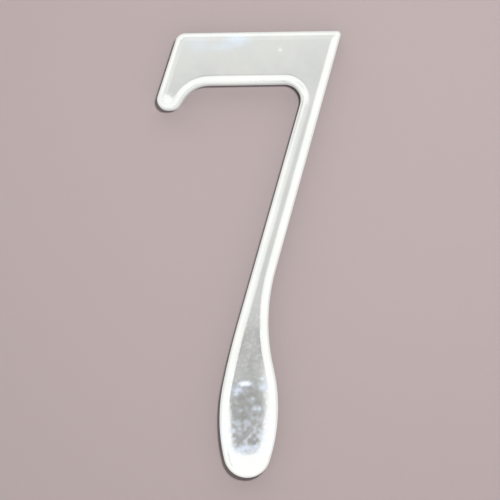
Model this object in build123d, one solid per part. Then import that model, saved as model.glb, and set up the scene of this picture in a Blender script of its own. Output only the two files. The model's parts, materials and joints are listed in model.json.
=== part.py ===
from build123d import *
import math
import os

# House number: the numeral seven in solid stainless steel, polished, with its front edge rounded over.
# Millimetres. The numeral stands upright, its face towards -Y and its flat back on the plane Y = 0.
# The origin is on that plane, midway between the two tapped holes that take the wall studs.

# The plate
HEIGHT = 100.0
THICKNESS = 5.0
EDGE_ROUND = 2.0
BACK_BREAK = 0.3

# The most of its wall that a rounded edge or corner may take up
ROUND_SHARE = 0.9

# The bar along the top, with its right-hand end set from the middle of the bowl's end
BAR_LENGTH = 36.8
BAR_DEPTH = 11.6
BAR_REACH = 22.7
BAR_LEFT_RADIUS = 2.3
BAR_RIGHT_RADIUS = 0.8

# The serif that hangs from the bar's left end
SERIF_DROP = 17.1
SERIF_SPLAY = 5.8
SERIF_FOOT = 5.3
SERIF_FLARE = 3.5
SERIF_TIP_RADIUS = 2.3
SERIF_HOLLOW_RADIUS = 7.1

# The slender stem, with its width at the top, which grows a little on the way down
STEM_WIDTH = 4.5
STEM_TAPER = 0.4
STEM_CORNER_RADIUS = 3.5
NECK_RADIUS = 44.0
SHOULDER_RADIUS = 174.0
SHOULDER_TURN = 4.2

# The teardrop bowl at the foot, an egg shape that leans a little to the right
BOWL_WIDTH = 13.1
BOWL_WIDEST = 14.6
BOWL_END_RADIUS = 5.25
BOWL_TILT = 3.2

# The bowl's end, where the face rolls back outside a flat with a round end and spreading sides
ROLL_LENGTH = 6.1
ROLL_RADIUS = 16.0
ROLL_FLAT_RADIUS = 1.8
ROLL_SPREAD = 15.0

# The two blind holes for threaded studs, on one upright line through the bowl
STUD_DIAMETER = 4.0
STUD_DEPTH = 2.8
DRILL_POINT = 118.0
LOWER_STUD = 14.2


def polar(angle):
    """Unit vector at an angle in degrees, anticlockwise from the drawing's x axis."""
    return Vector(math.cos(math.radians(angle)), math.sin(math.radians(angle)))


def touching_line(centre_a, radius_a, centre_b, radius_b):
    """Ends of the line that touches two circles, both on its right as it runs from a to b."""
    across = centre_b - centre_a
    along = across.normalized()
    left = Vector(-along.Y, along.X)
    cosine = (radius_a - radius_b) / across.length
    normal = along * cosine + left * math.sqrt(1 - cosine**2)
    return centre_a + normal * radius_a, centre_b + normal * radius_b


def arc_about(centre, start, end):
    """The shorter arc about a centre, from start to end."""
    radius = (start - centre).length
    middle = ((start - centre) + (end - centre)).normalized() * radius
    return ThreePointArc(start, centre + middle, end)


# The drawing has x to the right from the middle of the bowl's end, and y up from its lowest point.
end_radius = min(BOWL_END_RADIUS, ROUND_SHARE * BOWL_WIDTH / 2)
bowl_end = Vector(0, end_radius)
bowl_rise = BOWL_WIDEST - end_radius
bowl_axis = polar(90 - BOWL_TILT)
bowl_across = polar(-BOWL_TILT)

# The two sides of the bowl are arcs that touch its round end and are widest at the set height.
side_radius = (bowl_rise**2 + BOWL_WIDTH**2 / 4 - end_radius**2) / (BOWL_WIDTH - 2 * end_radius)
widest = bowl_end + bowl_axis * bowl_rise
right_centre = widest - bowl_across * (side_radius - BOWL_WIDTH / 2)
left_centre = widest + bowl_across * (side_radius - BOWL_WIDTH / 2)
end_right = right_centre + (bowl_end - right_centre).normalized() * side_radius
end_left = left_centre + (bowl_end - left_centre).normalized() * side_radius

# On the left the bowl's side stops just short of the stem's lean, and a long full shoulder makes the turn.
top_right = Vector(BAR_REACH, HEIGHT)
straight_start, straight_end = touching_line(left_centre, side_radius, top_right, STEM_WIDTH)
straight_lean = (straight_end - straight_start).get_angle(Vector(0, 1))
shoulder_way = polar(180 - straight_lean + SHOULDER_TURN)
side_left = left_centre + shoulder_way * side_radius
shoulder_centre = side_left - shoulder_way * SHOULDER_RADIUS
shoulder_touch, stem_left = touching_line(shoulder_centre, SHOULDER_RADIUS, top_right, STEM_WIDTH)
stem_up = (stem_left - shoulder_touch).normalized()

# The stem's right edge comes down from the bar's end, and a hollow neck joins it to the bowl's right side.
stem_down = -stem_up.rotate(Axis.Z, STEM_TAPER)
stem_out = Vector(-stem_down.Y, stem_down.X)
neck_line = top_right + stem_out * NECK_RADIUS
neck_offset = neck_line - right_centre
neck_fall = -neck_offset.dot(stem_down)
neck_chord = (side_radius + NECK_RADIUS) ** 2 - neck_offset.length**2 + neck_fall**2
neck_centre = neck_line + stem_down * (neck_fall - math.sqrt(neck_chord))
neck_touch = neck_centre - stem_out * NECK_RADIUS
side_right = right_centre + (neck_centre - right_centre).normalized() * side_radius

# Corners of the bar and the serif, before they are rounded
top_left = top_right - Vector(BAR_LENGTH, 0)
bar_bottom = HEIGHT - BAR_DEPTH
stem_corner = shoulder_touch + stem_up * ((bar_bottom - shoulder_touch.Y) / stem_up.Y)
foot_left = top_left - Vector(SERIF_SPLAY, SERIF_DROP)
foot_right = foot_left + Vector(SERIF_FOOT, 0)
hollow = Vector(foot_right.X + SERIF_FLARE, bar_bottom)

# The serif's tip has two rounded corners, which the width of its foot has to leave room for.
turn_left = 180 - (top_left - foot_left).get_angle(foot_right - foot_left)
turn_right = 180 - (hollow - foot_right).get_angle(foot_left - foot_right)
turns = math.tan(math.radians(turn_left / 2)) + math.tan(math.radians(turn_right / 2))
serif_tip = min(SERIF_TIP_RADIUS, ROUND_SHARE * SERIF_FOOT / turns)

upper_outline = FilletPolyline(
    [shoulder_touch, stem_corner, hollow, foot_right, foot_left, top_left, top_right],
    radius=[STEM_CORNER_RADIUS, SERIF_HOLLOW_RADIUS, serif_tip, serif_tip, BAR_LEFT_RADIUS],
)
lower_outline = [
    Line(top_right, neck_touch),
    arc_about(neck_centre, neck_touch, side_right),
    arc_about(right_centre, side_right, end_right),
    arc_about(bowl_end, end_right, end_left),
    arc_about(left_centre, end_left, side_left),
    arc_about(shoulder_centre, side_left, shoulder_touch),
]
front_view = make_face([*upper_outline.edges(), *lower_outline])

# The roll is cut by a ring about a point on the bowl's axis, with two arms that lead out past the sides.
roll_centre = bowl_end + bowl_axis * (ROLL_FLAT_RADIUS + ROLL_LENGTH - end_radius)
roll_reach = max(ROLL_LENGTH, BOWL_WIDTH / 2)
roll_drop = ROLL_RADIUS - math.sqrt(ROLL_RADIUS**2 - roll_reach**2)
roll_start = Vector(ROLL_FLAT_RADIUS, THICKNESS)
roll_end = Vector(ROLL_FLAT_RADIUS + roll_reach, THICKNESS - roll_drop)
roll_arc = arc_about(roll_start - Vector(0, ROLL_RADIUS), roll_start, roll_end)
roll_box = Polyline(roll_end, (roll_end.X, 2 * THICKNESS), (roll_start.X, 2 * THICKNESS), roll_start)
roll_section = make_face([roll_arc, *roll_box.edges()])
roll_right, roll_left = [
    Plane(roll_centre, way, way.cross(Vector(0, 0, 1))) * roll_section
    for way in (polar(-BOWL_TILT - ROLL_SPREAD), polar(180 - BOWL_TILT + ROLL_SPREAD))
]
roll_arm = BOWL_WIDEST + ROLL_LENGTH
roll = revolve(roll_right, Axis(roll_centre, (0, 0, -1)), 180 - 2 * ROLL_SPREAD)
roll += [extrude(roll_right, -roll_arm), extrude(roll_left, roll_arm)]

# The finished numeral has its origin midway between the studs.
upper_stud = HEIGHT - BAR_DEPTH / 2
stud_x = (LOWER_STUD - end_radius) * math.tan(math.radians(BOWL_TILT))
stud_reach = (upper_stud - LOWER_STUD) / 2
lift = LOWER_STUD + stud_reach
drawing = Plane.XZ * Pos(-stud_x, -lift)
numeral = drawing * (extrude(front_view, THICKNESS) - roll)

# The front edge is rounded over all the way round, as far as the stem, corners and rolled end allow.
edge_wall = min(STEM_WIDTH / 2, serif_tip, BAR_LEFT_RADIUS, THICKNESS - roll_drop)
edge_round = min(EDGE_ROUND, ROUND_SHARE * edge_wall)
front_faces = numeral.faces().sort_by(Axis.Y)[:4]
face_edges = [edge for face in front_faces for edge in face.edges()]
front_edges = [edge for edge in face_edges if face_edges.count(edge) == 1]
numeral = fillet(front_edges, edge_round)

# The bar's sharp right-hand end is softened, along its upright edge and the mitre of the two rounds.
bar_end = Vector(top_right.X - stud_x, 0, top_right.Y - lift)
bar_end_edges = numeral.edges().filter_by(Axis.Y).sort_by_distance(bar_end)[:1]
bar_end_edges += numeral.edges().filter_by(GeomType.ELLIPSE)
numeral = fillet(bar_end_edges, BAR_RIGHT_RADIUS)

# The back edge is broken, so that it lies close to the wall and doesn't cut the hand.
back = numeral.faces().sort_by(Axis.Y)[-1]
numeral = chamfer(back.edges(), BACK_BREAK)

# Each stud hole is blind, with the cone that the drill leaves and a broken mouth.
stud_radius = STUD_DIAMETER / 2
point_depth = stud_radius / math.tan(math.radians(DRILL_POINT / 2))
hole_side = Polyline(
    (0, BACK_BREAK),
    (stud_radius + 2 * BACK_BREAK, BACK_BREAK),
    (stud_radius, -BACK_BREAK),
    (stud_radius, -STUD_DEPTH),
    (0, -STUD_DEPTH - point_depth),
    close=True,
)
stud_hole = revolve(Plane.XY * make_face(hole_side.edges()), Axis.Y)
for height in (-stud_reach, stud_reach):
    numeral -= Pos(0, 0, height) * stud_hole

os.makedirs("parts", exist_ok=True)
export_step(numeral, "parts/numeral_seven.step")
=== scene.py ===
import json
import math

import bmesh
import bpy
from mathutils import Matrix, Vector


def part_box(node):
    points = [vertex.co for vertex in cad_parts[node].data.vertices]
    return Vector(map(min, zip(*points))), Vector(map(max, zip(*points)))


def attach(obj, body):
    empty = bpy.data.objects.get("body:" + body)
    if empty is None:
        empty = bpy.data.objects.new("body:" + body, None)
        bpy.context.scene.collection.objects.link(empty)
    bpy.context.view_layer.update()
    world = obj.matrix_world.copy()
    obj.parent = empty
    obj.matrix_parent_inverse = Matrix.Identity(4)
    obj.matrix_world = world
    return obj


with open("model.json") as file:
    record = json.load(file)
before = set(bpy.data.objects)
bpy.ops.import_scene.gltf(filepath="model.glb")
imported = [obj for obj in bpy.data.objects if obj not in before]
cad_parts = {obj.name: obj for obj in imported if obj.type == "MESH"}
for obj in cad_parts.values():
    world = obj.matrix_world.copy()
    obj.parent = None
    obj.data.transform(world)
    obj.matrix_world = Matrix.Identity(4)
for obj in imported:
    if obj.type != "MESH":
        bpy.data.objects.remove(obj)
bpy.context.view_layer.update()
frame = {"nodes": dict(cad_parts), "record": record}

# Polished house number on a pale wall. Metres, in the CAD frame: face towards -Y, flat back on Y = 0.
MM = 0.001
NUMERAL_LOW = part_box("numeral_seven")[0]
WALL_FIXING = next(mount["dims"] for mount in frame["record"]["mounts"] if mount["name"] == "wall_fixing")
HOLE_RADIUS = WALL_FIXING["hole_r_mm"] * MM
UPPER_HOLE = Vector((0, 0, WALL_FIXING["spacing_y_mm"] / 2 * MM))
LOWER_HOLE = -UPPER_HOLE

# Camera, square on and turned a little, with the width of the picture where the edge starts to round
FRAME_WIDTH = 112.2 * MM
FRAME_CENTRE = Vector((0.84, -3.0, -3.03)) * MM
FRAME_TURN = math.radians(0.863)
LENS_MM = 120.0
SENSOR_MM = 36.0

# Stage, a wall just clear of the numeral's back and a floor well below it
WALL_GAP = 0.3 * MM
WALL_SIZE = 8.0
FLOOR_SIZE = 16.0
FLOOR_DROP = 0.45
PALE_WALL = (0.43, 0.362, 0.362, 1)
PALE_FLOOR = (0.86, 0.83, 0.82, 1)
PALE_ROOM = (0.65, 0.627, 0.617, 1)

# Paint of the wall and the floor: the share of its colour in darker places, and noise in cells per metre
PAINT_SHADE = 0.97
PAINT_CLOUDS = 5.0
PAINT_GRAIN = 900.0

# Key lamp, a small soft box beside the camera, up and to the right
KEY_PLACE = Vector((0.055, -0.34, 0.068))
KEY_SIZE = 0.025
KEY_WATTS = 0.93

# Light tent, with the levels of its white cloth, its roof, the far end of its opening and a fold
TENT_COLOUR = (1.0, 1.0, 0.985, 1)
TENT_WHITE = 1.25
ROOF_LEVEL = 0.95
FAR_LEVEL = 0.72
FOLD_LEVEL = 0.74

# How far the numeral's left edges lean, which the far end of the opening follows
EDGE_LEAN = math.radians(18.67)

# Middle of the slim part of the opening, a little to the left of the camera
SLIM_MIDDLE = -0.04

# Parts of the tent, as limits to the direction: a measure, where the part starts and where it is full
TENT_PARTS = {
    # Overhead the tent is a little greyer than at the sides
    "roof": (("up", 0.08, 0.20), ("aside", 0.50, 0.30), ("forward", 0.30, 0.50)),
    # On the upper left the opening reaches further out
    "far_end": (
        ("along", 0.10, 0.25),
        ("along", 0.95, 0.78),
        ("across", 0.04, 0.08),
        ("across", 0.40, 0.22),
        ("forward", 0.10, 0.30),
    ),
    # A fold of the tent that is turned from the light, an upright strip low on the left
    "fold": (
        ("from_fold", 0.16, 0.05),
        ("up", -0.22, -0.34),
        ("up", -0.72, -0.58),
        ("forward", 0.20, 0.40),
    ),
    # Round the camera the tent is open, over a broad stretch above and a slim one below
    "broad_opening": (("up", -0.07, -0.01), ("aside", 0.36, 0.20), ("forward", 0.80, 0.92)),
    "slim_opening": (("up", -0.01, -0.07), ("from_slim", 0.19, 0.10), ("forward", 0.80, 0.92)),
}

# Levels in the tent's opening, by the height of the direction: white floor, dark gap, then grey
OPENING_LEVELS = (
    (-0.30, TENT_WHITE),
    (-0.215, TENT_WHITE),
    (-0.16, 0.50),
    (-0.12, 0.34),
    (-0.09, 0.37),
    (-0.065, 0.57),
    (-0.04, 0.74),
    (0.0, 0.81),
    (0.07, 0.82),
    (0.112, 0.835),
    (0.119, 0.895),
    (0.126, 0.95),
    (0.30, 0.97),
)

# The room behind the wall, and the tent's top for matt surfaces, with where each starts and is full
REAR_LEVEL = 0.95
REAR_BACK = (0.15, 0.45)
OVERHEAD_LEVEL = 1.0
OVERHEAD_UP = (0.3, 0.7)

# Parts of the numeral, with where each starts and is full, by height, by depth or by the normal's Y
BOWL_UP = (-26.0 * MM, -34.0 * MM)
FOOT_UP = (-6.0 * MM, -24.0 * MM)
FRONT_DEPTH = (-0.8 * MM, -1.8 * MM)
BACK_DEPTH = (-0.35 * MM, -0.25 * MM)
FACE_NORMAL = (-0.97, -0.995)
EDGE_NORMAL = (-0.9995, -0.992)
BOWL_EDGE_NORMAL = (-0.93, -0.88)
SIDE_NORMAL = (0.30, 0.08)

# Tones of the polished and the ground steel, darker and lighter, and of painted glints, painted sky
# reflections and a painted highlight on the polish
POLISHED_TONES = ((0.78, 0.79, 0.775, 1), (0.82, 0.83, 0.81, 1))
GROUND_TONES = ((0.40, 0.405, 0.40, 1), (0.54, 0.545, 0.535, 1))
PAINTED_GLINT_TONE = (0.88, 0.89, 0.90, 1)
PAINTED_SKY_TONE = (0.84, 0.915, 1.0, 1)
PAINTED_BOWL_SKY_TONE = (0.78, 0.855, 1.0, 1)
PAINTED_HIGHLIGHT_TONE = (0.92, 0.925, 0.92, 1)

# Roughness of the polish, least and most, and what is added to it elsewhere
POLISH_ROUGHNESS = (0.07, 0.12)
LINE_ROUGHNESS = 0.02
BOWL_ROUGHNESS = 0.02
HAZE_ROUGHNESS = 0.45
EDGE_ROUGHNESS = 0.16
GROUND_ROUGHNESS = 0.2

# Heights of the relief in the polish
WAVE_HEIGHT_MM = 0.02
LINE_HEIGHT_MM = 0.0002
DIMPLE_HEIGHT_MM = 0.010

# Noise in the steel, in cells per metre
WAVES = 90.0
CLOUDS = 140.0
# Clouds that break up the painted sky reflection on the bar
PAINTED_SKY_CLOUDS = 420.0
DIMPLES = 620.0
MOTTLE = 950.0
HAZE_BREAKS = 1300.0
# The next noise places the specks of painted glint
SPECKLES = 1500.0
POLISH_LINES = (300.0, 300.0, 9000.0)
GROUND_LINES = (250.0, 7000.0, 250.0)

# The stretch of a noise's values over which its effect grows from none to full
NOISE_STRETCH = (0.3, 0.7)
# The next stretch is for the painted sky reflection on the bar
PAINTED_SKY_STRETCH = (0.30, 0.60)
MOTTLE_STRETCH = (0.36, 0.76)
BREAKS_STRETCH = (0.35, 0.60)
SPECKLE_STRETCH = (0.45, 0.75)

# The share of the painted sky reflection on the bar and of the haze that their noise leaves, least and
# most
PAINTED_SKY_SHARES = (0.6, 1.0)
HAZE_SHARES = (0.55, 1.05)

# Hazy patches in the polish, which also carry painted highlights and painted sky reflections: place
# across and up, half width, half height and strength
HAZE_AND_GLINT_MM = (
    (-17.1, 31.0, 1.50, 0.95, 2.0),
    (8.24, 41.6, 0.60, 0.65, 0.80),
    (3.21, -31.8, 0.50, 0.40, 0.55),
    (3.41, -33.6, 0.90, 0.80, 0.50),
    (-0.85, -32.85, 1.10, 0.45, 1.6),
    (-1.98, -34.1, 1.35, 0.70, 0.35),
    (-2.78, -34.9, 0.60, 0.70, 0.40),
    (1.03, -36.2, 0.45, 0.50, 0.18),
    (1.36, -38.5, 0.50, 0.40, 0.45),
    (2.37, -38.5, 0.40, 0.40, 0.45),
    (-2.12, -38.9, 0.70, 0.30, 0.20),
    (-0.73, -47.4, 2.90, 0.90, 0.35),
)

# Painted bluish sky reflection on the bar, in the same terms
PAINTED_SKY_MM = (
    (-1.1, 43.9, 2.2, 1.1, 1.7),
    (-4.8, 42.5, 2.6, 1.0, 0.8),
    (-10.4, 43.0, 2.2, 1.6, 0.65),
)

# How crowded the mottle is, by height in millimetres, and the haze where it is densest
MOTTLE_CROWD = (
    (-50.0, 0.0),
    (-47.0, 0.7),
    (-44.0, 1.0),
    (-41.5, 0.8),
    (-39.0, 0.3),
    (-28.0, 0.22),
    (0.0, 0.1),
)
MOTTLE_HAZE = 0.20

# How blue the painted sky reflection in the hazy bowl is, by the haze's strength, and the strengths over
# which it turns to a painted white highlight
PAINTED_SKY_BY_HAZE = ((0.0, 0.0), (0.25, 0.7), (0.45, 0.8), (0.7, 0.4), (1.0, 0.1))
PAINTED_HIGHLIGHT_BY_HAZE = (0.6, 1.0)

# The bowl, an egg shape whose axis runs through the lower hole
BOWL_WIDTH = 13.1 * MM
BOWL_WIDEST = 14.6 * MM
BOWL_END_RADIUS = 5.25 * MM
BOWL_TILT = math.radians(3.2)

# Wear by the polishing wheel along the bowl's sides: its width, the worn face's radius, and its two ends
WORN_WIDTH = 4.4 * MM
WORN_RADIUS = 30.0 * MM
WORN_BOTTOM = (-48.0 * MM, -39.0 * MM)
WORN_TOP = (-20.0 * MM, -37.0 * MM)

# Tapped holes, with the thread's ridge drawn as shares of its pitch across and of its height
THREAD_PITCH = 0.7 * MM
THREAD_HEIGHT = 0.36 * MM
THREAD_SINK = 0.02 * MM
THREAD_START = 0.35 * MM
THREAD_RIDGE = ((-0.40, 0.0), (-0.08, 1.0), (0.08, 1.0), (0.40, 0.0))
THREAD_TURNS = 3.2
TURN_STEPS = 48
FADE_STEPS = 12

# The highest level that a ramp can hold
RAMP_TOP = 2.0


class Graph:
    """A node tree, with short ways to add nodes to it."""

    def __init__(self, tree):
        tree.nodes.clear()
        self.tree = tree

    def feed(self, socket, value):
        """Links a socket to another node's output, or sets it to a constant."""
        if isinstance(value, bpy.types.NodeSocket):
            self.tree.links.new(value, socket)
        else:
            socket.default_value = value

    def node(self, kind, settings=None, inputs=None):
        made = self.tree.nodes.new("ShaderNode" + kind)
        for name, value in (settings or {}).items():
            setattr(made, name, value)
        for name, value in (inputs or {}).items():
            self.feed(made.inputs[name], value)
        return made

    def math(self, operation, *values):
        made = self.node("Math", {"operation": operation})
        for socket, value in zip(made.inputs, values):
            self.feed(socket, value)
        return made.outputs[0]

    def times(self, *values):
        product = values[0]
        for value in values[1:]:
            product = self.math("MULTIPLY", product, value)
        return product

    def total(self, *values):
        added = values[0]
        for value in values[1:]:
            added = self.math("ADD", added, value)
        return added

    def distance(self, value_a, value_b):
        """How far apart two values are, whichever is the larger."""
        return self.math("ABSOLUTE", self.math("SUBTRACT", value_a, value_b))

    def blend(self, share, level_a, level_b):
        """The level that goes from a to b with share."""
        rest = self.math("SUBTRACT", 1.0, share)
        return self.total(self.times(rest, level_a), self.times(share, level_b))

    def span(self, value, start, end, low=0.0, high=1.0):
        """Carries a value smoothly from start..end to low..high, and holds it beyond both ends."""
        made = self.node("MapRange", {"interpolation_type": "SMOOTHSTEP"})
        for socket, number in zip(made.inputs, (value, start, end, low, high)):
            self.feed(socket, number)
        return made.outputs[0]

    def ramp(self, value, stops):
        """A level along a value, through stops of (value, level)."""
        low, high = stops[0][0], stops[-1][0]
        share = self.math("DIVIDE", self.math("SUBTRACT", value, low), high - low)
        made = self.node("FloatCurve", inputs={"Value": share})
        curve = made.mapping.curves[0]
        while len(curve.points) < len(stops):
            curve.points.new(0.5, 0.5)
        for point, (place, level) in zip(curve.points, stops):
            point.location = ((place - low) / (high - low), level / RAMP_TOP)
            point.handle_type = "AUTO_CLAMPED"
        made.mapping.update()
        return self.math("MULTIPLY", made.outputs[0], RAMP_TOP)

    def noise(self, place, scale, detail=2.0, roughness=0.5):
        inputs = {"Vector": place, "Scale": scale, "Detail": detail, "Roughness": roughness}
        return self.node("TexNoise", inputs=inputs).outputs["Fac"]

    def streaks(self, place, scales):
        """Noise that is drawn out into lines, by its scales along X, Y and Z."""
        stretched = self.node("Mapping", inputs={"Vector": place, "Scale": scales}).outputs["Vector"]
        return self.noise(stretched, 1.0, detail=3.0)

    def mix(self, share, colour_a, colour_b):
        made = self.node("Mix", {"data_type": "RGBA"})
        self.feed(made.inputs[0], share)
        self.feed(made.inputs[6], colour_a)
        self.feed(made.inputs[7], colour_b)
        return made.outputs[2]

    def mix_shader(self, share, shader_a, shader_b):
        made = self.node("MixShader")
        for socket, value in zip(made.inputs, (share, shader_a, shader_b)):
            self.feed(socket, value)
        return made.outputs[0]


def new_material(name):
    material = bpy.data.materials.new(name)
    material.use_nodes = True
    return material, Graph(material.node_tree)


def new_object(name, data):
    made = bpy.data.objects.new(name, data)
    bpy.context.scene.collection.objects.link(made)
    return made


def patches(graph, axes, marks):
    """Soft round patches of the face, added up, each with its strength in its middle."""
    strengths = []
    for across, up, half_width, half_height, strength in marks:
        share_x = graph.math("DIVIDE", graph.math("SUBTRACT", axes["X"], across * MM), half_width * MM)
        share_z = graph.math("DIVIDE", graph.math("SUBTRACT", axes["Z"], up * MM), half_height * MM)
        squares = graph.total(graph.times(share_x, share_x), graph.times(share_z, share_z))
        strengths.append(graph.times(graph.math("EXPONENT", graph.times(squares, -1.0)), strength))
    return graph.total(*strengths)


def haze_and_glint_strength(graph, place, axes):
    """How hazy the polish of the front is, from 0 to 1, which also sets its painted highlights and sky
    reflections: single patches, and a mottled bowl.
    """
    crowd = graph.ramp(graph.math("DIVIDE", axes["Z"], MM), MOTTLE_CROWD)
    mottle = graph.span(graph.noise(place, MOTTLE, detail=0.0), *MOTTLE_STRETCH)
    breaks = graph.span(graph.noise(place, HAZE_BREAKS, detail=1.0), *BREAKS_STRETCH, *HAZE_SHARES)
    haze_and_glints = graph.total(
        graph.times(mottle, crowd, MOTTLE_HAZE),
        graph.times(patches(graph, axes, HAZE_AND_GLINT_MM), breaks),
    )
    front = graph.span(axes["Y"], *FRONT_DEPTH)
    return graph.times(graph.math("MINIMUM", haze_and_glints, 1.0), front)


def painted_sky_strength(graph, place, axes):
    """How strong the painted bluish sky reflection on the bar is."""
    clouds = graph.span(graph.noise(place, PAINTED_SKY_CLOUDS), *PAINTED_SKY_STRETCH, *PAINTED_SKY_SHARES)
    return graph.times(patches(graph, axes, PAINTED_SKY_MM), clouds)


def bowl_sides():
    """Radius and centres of the two arcs that are the bowl's sides, seen from the front."""
    rise = BOWL_WIDEST - BOWL_END_RADIUS
    radius = (rise**2 + BOWL_WIDTH**2 / 4 - BOWL_END_RADIUS**2) / (BOWL_WIDTH - 2 * BOWL_END_RADIUS)
    up = Vector((math.sin(BOWL_TILT), 0, math.cos(BOWL_TILT)))
    across = Vector((math.cos(BOWL_TILT), 0, -math.sin(BOWL_TILT)))
    hole_rise = (LOWER_HOLE.z - NUMERAL_LOW.z - BOWL_END_RADIUS) / math.cos(BOWL_TILT)
    widest = LOWER_HOLE + up * (rise - hole_rise)
    offset = across * (radius - BOWL_WIDTH / 2)
    return radius, (widest - offset, widest + offset)


def wear_depth(graph, axes):
    """How far the face is worn down towards the sides of the bowl, in millimetres."""
    radius, centres = bowl_sides()
    front_place = graph.node("CombineXYZ", inputs={"X": axes["X"], "Z": axes["Z"]}).outputs[0]
    depths = []
    for centre in centres:
        reach = graph.node("VectorMath", {"operation": "DISTANCE"})
        graph.feed(reach.inputs[0], front_place)
        graph.feed(reach.inputs[1], centre)
        past = graph.math("SUBTRACT", reach.outputs["Value"], radius - WORN_WIDTH)
        past = graph.math("MAXIMUM", past, 0.0)
        depths.append(graph.times(past, past, 0.5 / WORN_RADIUS / MM))
    stretch = graph.times(graph.span(axes["Z"], *WORN_BOTTOM), graph.span(axes["Z"], *WORN_TOP))
    return graph.times(graph.total(*depths), stretch)


def polished_steel():
    """Stainless steel with a polished front, fine lines, an uneven bowl, and ground back and sides, with
    painted glints, highlights and sky reflections.
    """
    material, graph = new_material("polished_stainless")
    place = graph.node("TexCoord").outputs["Object"]
    axes = graph.node("SeparateXYZ", inputs={"Vector": place}).outputs
    normal = graph.node("NewGeometry").outputs["Normal"]
    facing = graph.node("SeparateXYZ", inputs={"Vector": normal}).outputs["Y"]

    # Parts of the numeral, each 1 where the part is
    face = graph.span(facing, *FACE_NORMAL)
    bowl = graph.span(axes["Z"], *BOWL_UP)
    foot = graph.span(axes["Z"], *FOOT_UP)
    back = graph.span(axes["Y"], *BACK_DEPTH)
    side = graph.span(graph.math("ABSOLUTE", facing), *SIDE_NORMAL)

    # The rounded edge is softer than the face, and in the bowl that starts further out
    edge = graph.blend(bowl, graph.span(facing, *EDGE_NORMAL), graph.span(facing, *BOWL_EDGE_NORMAL))

    # The bowl was polished less evenly than the rest
    lines = graph.streaks(place, POLISH_LINES)
    relief = graph.total(
        graph.times(graph.noise(place, WAVES, detail=1.0), WAVE_HEIGHT_MM),
        graph.times(lines, LINE_HEIGHT_MM),
        graph.times(graph.noise(place, DIMPLES, detail=1.0), bowl, face, DIMPLE_HEIGHT_MM),
        graph.times(wear_depth(graph, axes), -1.0),
    )
    bump = graph.node("Bump", inputs={"Strength": 1.0, "Distance": MM, "Height": relief})

    clouds = graph.noise(place, CLOUDS, detail=3.0, roughness=0.6)
    haze_and_glints = haze_and_glint_strength(graph, place, axes)
    roughness = graph.total(
        graph.span(clouds, *NOISE_STRETCH, *POLISH_ROUGHNESS),
        graph.times(lines, LINE_ROUGHNESS),
        graph.times(bowl, BOWL_ROUGHNESS),
        graph.times(haze_and_glints, HAZE_ROUGHNESS),
        graph.times(edge, EDGE_ROUGHNESS),
        graph.times(graph.math("MAXIMUM", back, side), GROUND_ROUGHNESS),
    )

    # The bar and thin haze in the bowl get a painted bluish sky reflection, and thick haze a painted
    # white highlight
    tone = graph.mix(graph.span(clouds, *NOISE_STRETCH), *POLISHED_TONES)
    tone = graph.mix(painted_sky_strength(graph, place, axes), tone, PAINTED_SKY_TONE)
    # Lighter specks low on the face are painted glints
    glint_speck = graph.span(graph.noise(place, SPECKLES, detail=0.0), *SPECKLE_STRETCH)
    tone = graph.mix(graph.times(glint_speck, foot, face), tone, PAINTED_GLINT_TONE)
    tone = graph.mix(graph.times(graph.ramp(haze_and_glints, PAINTED_SKY_BY_HAZE), bowl), tone, PAINTED_BOWL_SKY_TONE)
    tone = graph.mix(graph.span(haze_and_glints, *PAINTED_HIGHLIGHT_BY_HAZE), tone, PAINTED_HIGHLIGHT_TONE)

    # The back is ground across the numeral, and the upright sides along their length
    side_lines = graph.streaks(place, GROUND_LINES)
    tone = graph.mix(side, tone, graph.mix(graph.span(side_lines, *NOISE_STRETCH), *GROUND_TONES))
    tone = graph.mix(back, tone, graph.mix(graph.span(lines, *NOISE_STRETCH), *GROUND_TONES))
    steel = graph.node(
        "BsdfPrincipled",
        inputs={
            "Base Color": tone,
            "Metallic": 1.0,
            "Roughness": roughness,
            "Normal": bump.outputs["Normal"],
        },
    )
    graph.node("OutputMaterial", inputs={"Surface": steel.outputs[0]})
    return material


def pale_plaster(name, colour, one_sided):
    """Matt wall paint with a faint uneven tone. A one-sided wall isn't there when seen from behind."""
    material, graph = new_material(name)
    place = graph.node("TexCoord").outputs["Object"]
    darker = [PAINT_SHADE * part for part in colour[:3]] + [1]
    grain = graph.noise(place, PAINT_GRAIN, detail=3.0)
    bump = graph.node("Bump", inputs={"Strength": 0.15, "Distance": 0.1 * MM, "Height": grain})
    paint = graph.node(
        "BsdfPrincipled",
        inputs={
            "Base Color": graph.mix(graph.noise(place, PAINT_CLOUDS, detail=4.0), darker, colour),
            "Roughness": 0.9,
            "Specular IOR Level": 0.1,
            "Normal": bump.outputs["Normal"],
        },
    )
    surface = paint.outputs[0]
    if one_sided:
        behind = graph.node("NewGeometry").outputs["Backfacing"]
        surface = graph.mix_shader(behind, surface, graph.node("BsdfTransparent").outputs[0])
    graph.node("OutputMaterial", inputs={"Surface": surface})
    return material


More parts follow.
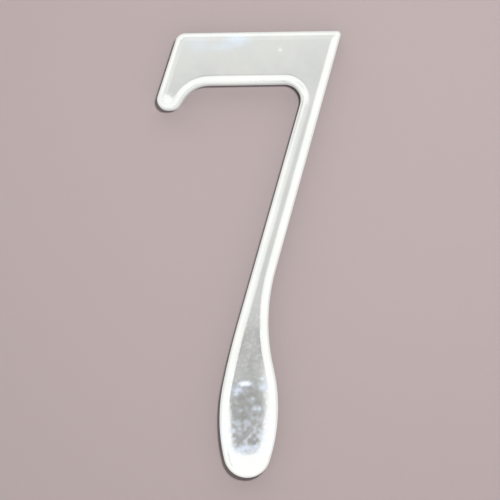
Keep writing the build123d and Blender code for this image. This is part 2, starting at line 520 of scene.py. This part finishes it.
def thread(name, hole, steel):
    """The helical ridge of a tapped hole, which runs in from the back along -Y."""
    build = bmesh.new()
    steps = int(THREAD_TURNS * TURN_STEPS)
    rows = []
    for step in range(steps + 1):
        turn = 2 * math.pi * step / TURN_STEPS
        outward = Vector((math.cos(turn), 0, math.sin(turn)))
        depth = THREAD_START + THREAD_PITCH * step / TURN_STEPS
        fade = min(1.0, step / FADE_STEPS, (steps - step) / FADE_STEPS)
        row = []
        for across, rise in THREAD_RIDGE:
            reach = HOLE_RADIUS + THREAD_SINK - THREAD_HEIGHT * rise * fade
            inward = Vector((0, -depth - across * THREAD_PITCH, 0))
            row.append(build.verts.new(hole + outward * reach + inward))
        rows.append(row)
    for row_a, row_b in zip(rows, rows[1:]):
        for index in range(len(THREAD_RIDGE) - 1):
            build.faces.new((row_a[index], row_a[index + 1], row_b[index + 1], row_b[index]))
    bmesh.ops.recalc_face_normals(build, faces=build.faces)
    mesh = bpy.data.meshes.new(name)
    build.to_mesh(mesh)
    build.free()
    mesh.materials.append(steel)
    made = new_object(name, mesh)
    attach(made, "root")


def stage_sheet(name, size, place, turn, material):
    """A flat square of the stage."""
    mesh = bpy.data.meshes.new(name)
    build = bmesh.new()
    bmesh.ops.create_grid(build, x_segments=1, y_segments=1, size=size / 2)
    build.to_mesh(mesh)
    build.free()
    mesh.materials.append(material)
    made = new_object(name, mesh)
    made.matrix_world = Matrix.Translation(place) @ Matrix.Rotation(turn, 4, "X")
    return made


def tent_part(graph, measures, limits):
    """A part of the tent, 1 within all its limits and 0 beyond any of them."""
    return graph.times(*(graph.span(measures[name], start, full) for name, start, full in limits))


def tent_level(graph, axes):
    """The level of the light tent by direction: white cloth, greyer parts, and an opening in front."""
    lean_x, lean_z = math.cos(EDGE_LEAN), math.sin(EDGE_LEAN)
    measures = {
        "up": axes["Z"],
        "forward": graph.times(axes["Y"], -1.0),
        "aside": graph.math("ABSOLUTE", axes["X"]),
        "along": graph.total(graph.times(axes["X"], -lean_x), graph.times(axes["Z"], lean_z)),
        "across": graph.total(graph.times(axes["X"], lean_z), graph.times(axes["Z"], lean_x)),
        "from_fold": graph.distance(axes["X"], axes["Y"]),
        "from_slim": graph.distance(axes["X"], SLIM_MIDDLE),
    }
    parts = {name: tent_part(graph, measures, limits) for name, limits in TENT_PARTS.items()}
    level = graph.blend(parts["roof"], TENT_WHITE, ROOF_LEVEL)
    level = graph.blend(parts["far_end"], level, FAR_LEVEL)
    level = graph.blend(parts["fold"], level, FOLD_LEVEL)
    opening = graph.total(parts["broad_opening"], parts["slim_opening"])
    return graph.blend(opening, level, graph.ramp(axes["Z"], OPENING_LEVELS))


def studio_world():
    """A light tent that the metal mirrors, light from above for matt surfaces, and a pale room."""
    world = bpy.data.worlds.new("light_tent")
    world.use_nodes = True
    world.cycles.sampling_method = "NONE"
    bpy.context.scene.world = world
    graph = Graph(world.node_tree)
    way = graph.node("TexCoord").outputs["Generated"]
    axes = graph.node("SeparateXYZ", inputs={"Vector": way}).outputs
    path = graph.node("LightPath").outputs

    # Behind the wall is a pale room, and matt surfaces are lit by the top of the tent alone
    behind = graph.span(axes["Y"], *REAR_BACK)
    mirrored = graph.blend(behind, tent_level(graph, axes), REAR_LEVEL)
    overhead = graph.span(axes["Z"], *OVERHEAD_UP, 0.0, OVERHEAD_LEVEL)
    matt = graph.span(path["Diffuse Depth"], 0.0, 1.0)
    level = graph.blend(matt, mirrored, overhead)

    # The camera sees a plain pale room
    tent = graph.node("Background", inputs={"Color": TENT_COLOUR, "Strength": level})
    room = graph.node("Background", inputs={"Color": PALE_ROOM, "Strength": 1.0})
    seen = graph.mix_shader(path["Is Camera Ray"], tent.outputs[0], room.outputs[0])
    graph.node("OutputWorld", inputs={"Surface": seen})


def key_lamp():
    data = bpy.data.lights.new("key", "AREA")
    data.shape = "SQUARE"
    data.size = KEY_SIZE
    data.energy = KEY_WATTS
    lamp = new_object("key", data)
    lamp.location = KEY_PLACE
    lamp.rotation_euler = (-KEY_PLACE).to_track_quat("-Z", "Y").to_euler()
    lamp.visible_glossy = False
    lamp.visible_camera = False


def camera():
    data = bpy.data.cameras.new("camera")
    data.lens = LENS_MM
    data.sensor_width = SENSOR_MM
    made = new_object("camera", data)
    back_off = FRAME_WIDTH * LENS_MM / SENSOR_MM
    turn = Matrix.Rotation(FRAME_TURN, 4, "Y") @ Matrix.Rotation(math.pi / 2, 4, "X")
    made.matrix_world = Matrix.Translation(FRAME_CENTRE - Vector((0, back_off, 0))) @ turn
    bpy.context.scene.camera = made


steel = polished_steel()
for slot in frame["nodes"]["numeral_seven"].material_slots:
    slot.material = steel
thread("upper_stud_thread", UPPER_HOLE, steel)
thread("lower_stud_thread", LOWER_HOLE, steel)

# The wall takes the numeral's shadow and does nothing else to the light
wall_paint = pale_plaster("wall_paint", PALE_WALL, one_sided=True)
wall = stage_sheet("wall", WALL_SIZE, Vector((0, WALL_GAP, 0)), math.pi / 2, wall_paint)
wall.visible_diffuse = False
wall.visible_glossy = False
wall.visible_transmission = False
wall.visible_shadow = False

floor_paint = pale_plaster("floor_paint", PALE_FLOOR, one_sided=False)
floor_height = NUMERAL_LOW.z - FLOOR_DROP
floor = stage_sheet("floor", FLOOR_SIZE, Vector((0, 0, floor_height)), 0.0, floor_paint)
floor.visible_glossy = False

studio_world()
key_lamp()
camera()
bpy.context.scene.view_settings.view_transform = "Standard"
